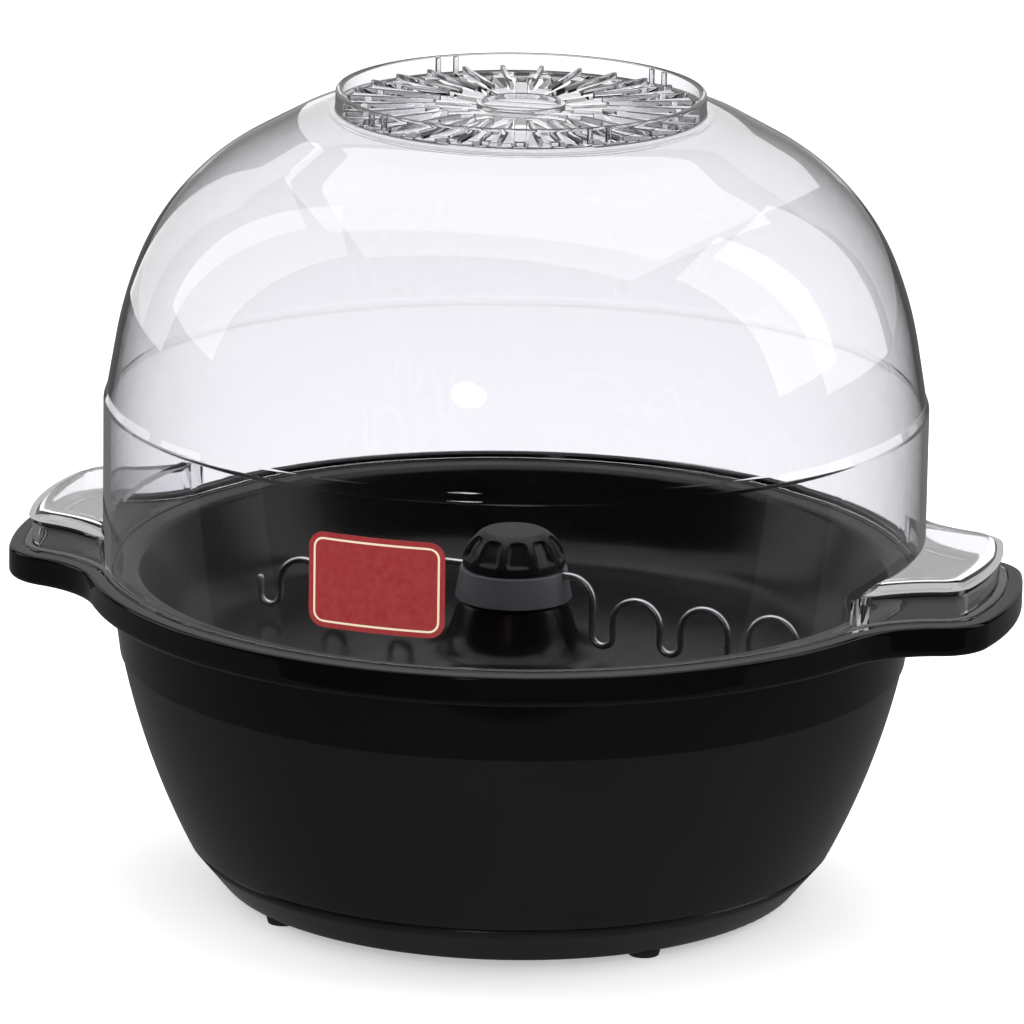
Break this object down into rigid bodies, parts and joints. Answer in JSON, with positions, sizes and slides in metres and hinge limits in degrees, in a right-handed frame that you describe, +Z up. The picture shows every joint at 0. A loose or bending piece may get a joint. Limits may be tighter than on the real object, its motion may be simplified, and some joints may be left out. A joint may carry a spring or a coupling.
{
  "type": "stirring popcorn maker",
  "caption": "Electric popcorn maker with a black two-handled base, a non-stick pan stirred by a wavy wire and a tall clear dome cover that lifts off.",
  "frame": {"origin": "on the table, under the middle of the round base", "axes": "+X through the right handle, +Y towards the back where the cord inlet is, +Z up"},
  "size_m": [0.3256, 0.274, 0.2597],
  "materials": {
    "base_black": "glossy black moulded plastic",
    "tray_black": "satin black moulded plastic",
    "clear_cover": "clear, colourless, polished moulded plastic",
    "label_film": "thin printed film, plain dark red with a pale border line",
    "pan_coating": "aluminium pan with a black satin non-stick coating",
    "collar_grey": "dark grey satin heat-proof plastic",
    "knob_black": "black matte heat-proof plastic",
    "bright_wire": "bright drawn stainless wire",
    "steel_plain": "zinc-plated and plain steel",
    "sheet_metal": "galvanised sheet steel",
    "aluminium_tube": "heating element sheath, dull metal",
    "brass_parts": "plain turned brass",
    "copper_wire": "enamelled copper winding",
    "rubber_black": "black moulded rubber",
    "silicone": "reddish heat-proof silicone",
    "gear_white": "white acetal gear plastic",
    "case_grey": "grey glass-filled plastic",
    "magnet_dark": "dark ferrite magnet",
    "lead_sleeve": "white heat-proof sleeving",
    "terminal_cream": "cream terminal plastic",
    "ceramic_white": "white ceramic"
  },
  "bodies": {
    "base": {"base_housing": "base_black", "bottom_tray": "tray_black", "bush_nut": "brass_parts", "bush_seal": "silicone", "clamp_bolts": "steel_plain", "cord_gland": "rubber_black", "element_clamps": "sheet_metal", "element_leads": "lead_sleeve", "element_tabs": "steel_plain", "fuse_clip": "sheet_metal", "gearbox_case": "case_grey", "gearbox_lid": "case_grey", "gearbox_screws": "steel_plain", "heat_shield": "sheet_metal", "heating_element": "aluminium_tube", "idler_pin": "steel_plain", "kettle": "pan_coating", "kettle_gasket": "silicone", "kettle_studs": "steel_plain", "motor_bobbin": "terminal_cream", "motor_bracket": "sheet_metal", "motor_can": "sheet_metal", "motor_coil": "copper_wire", "motor_leads": "lead_sleeve", "rubber_feet": "rubber_black", "sensor_lead": "lead_sleeve", "shaft_bush": "brass_parts", "stud_nuts": "steel_plain", "stud_spacers": "sheet_metal", "terminal_block": "terminal_cream", "terminal_screws": "steel_plain", "thermal_fuse": "ceramic_white", "thermostat": "aluminium_tube", "thermostat_clip": "sheet_metal", "tray_screws": "steel_plain"},
    "cover": {"dome_cover": "clear_cover", "vent_well": "clear_cover", "cover_label": "label_film"},
    "drive": {"drive_shaft": "steel_plain", "output_wheel": "gear_white", "shaft_clip": "steel_plain"},
    "stirrer": {"stir_collar": "collar_grey", "stir_wire": "bright_wire"},
    "knob": {"stir_knob": "knob_black", "knob_insert": "brass_parts"},
    "idler": {"idler_gear": "gear_white"},
    "rotor": {"rotor_magnet": "magnet_dark", "rotor_shaft": "steel_plain", "rotor_pinion": "gear_white"}
  },
  "joints": [
    {"name": "cover_lift", "type": "slide", "parent": "base", "child": "cover", "axis": [0, 0, 1], "range_m": [0, 0.18]},
    {"name": "stir_spin", "type": "hinge", "parent": "base", "child": "drive", "pos_m": [0, 0, 0.09], "axis": [0, 0, 1], "continuous": true},
    {"name": "stirrer_lift", "type": "slide", "parent": "drive", "child": "stirrer", "axis": [0, 0, 1], "range_m": [0, 0.05]},
    {"name": "knob_lift", "type": "slide", "parent": "stirrer", "child": "knob", "axis": [0, 0, 1], "range_m": [0, 0.03]},
    {"name": "idler_spin", "type": "hinge", "parent": "base", "child": "idler", "pos_m": [-0.0225, 0, 0.046], "axis": [0, 0, 1], "continuous": true},
    {"name": "rotor_spin", "type": "hinge", "parent": "base", "child": "rotor", "pos_m": [0, 0, 0.03], "axis": [0, 0, 1], "continuous": true}
  ],
  "couplings": [
    {"joint": "idler_spin", "follows": "stir_spin", "ratio": -4},
    {"joint": "rotor_spin", "follows": "stir_spin", "ratio": 16}
  ]
}
